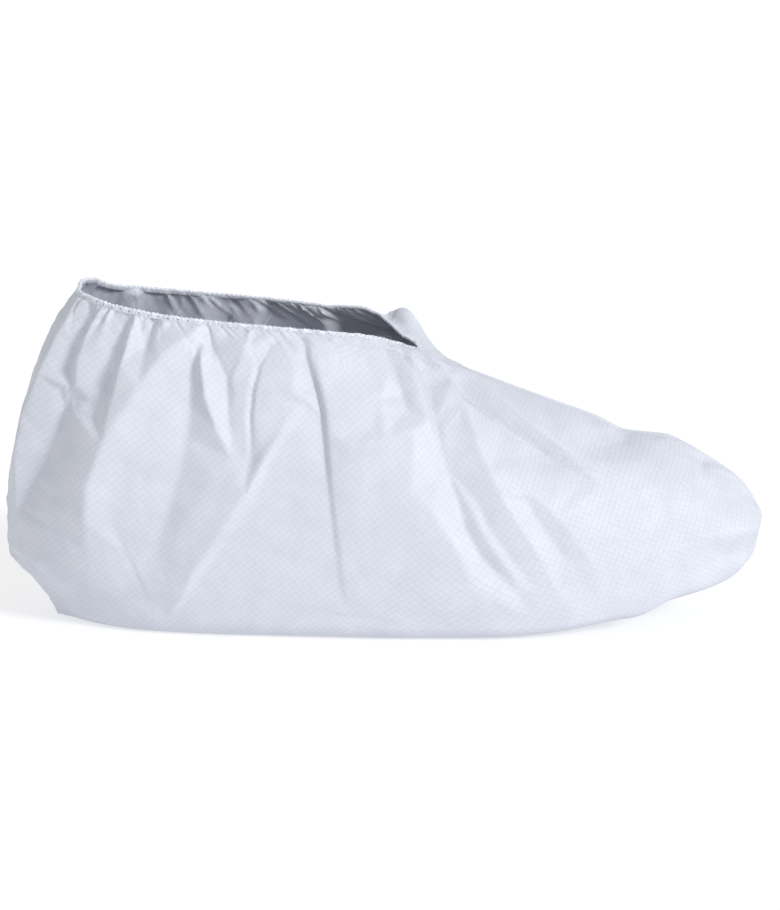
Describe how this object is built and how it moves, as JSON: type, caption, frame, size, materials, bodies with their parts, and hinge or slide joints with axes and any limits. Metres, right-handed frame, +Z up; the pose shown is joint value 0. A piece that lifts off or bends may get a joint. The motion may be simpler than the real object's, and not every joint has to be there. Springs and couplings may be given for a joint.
{
  "type": "microporous shoe cover",
  "caption": "Disposable overshoe of white microporous laminate, two sewn side panels with a gathered elastic hem around the ankle opening.",
  "frame": {"origin": "middle of the inner floor, on the upper side of the laminate where the foot rests, at mid length", "axes": "+X towards the toe, +Y to the wearer's left, +Z up out of the ankle opening"},
  "size_m": [0.3595, 0.1244, 0.1593],
  "materials": {
    "laminate": "matte film on nonwoven with a fine embossed grid",
    "elastic": "matte covered elastic, overlocked",
    "thread": "matte overlock thread"
  },
  "bodies": {
    "root": {"right_panel": "laminate", "left_panel": "laminate", "elastic_hem": "elastic", "centre_seam": "thread"}
  },
  "joints": []
}
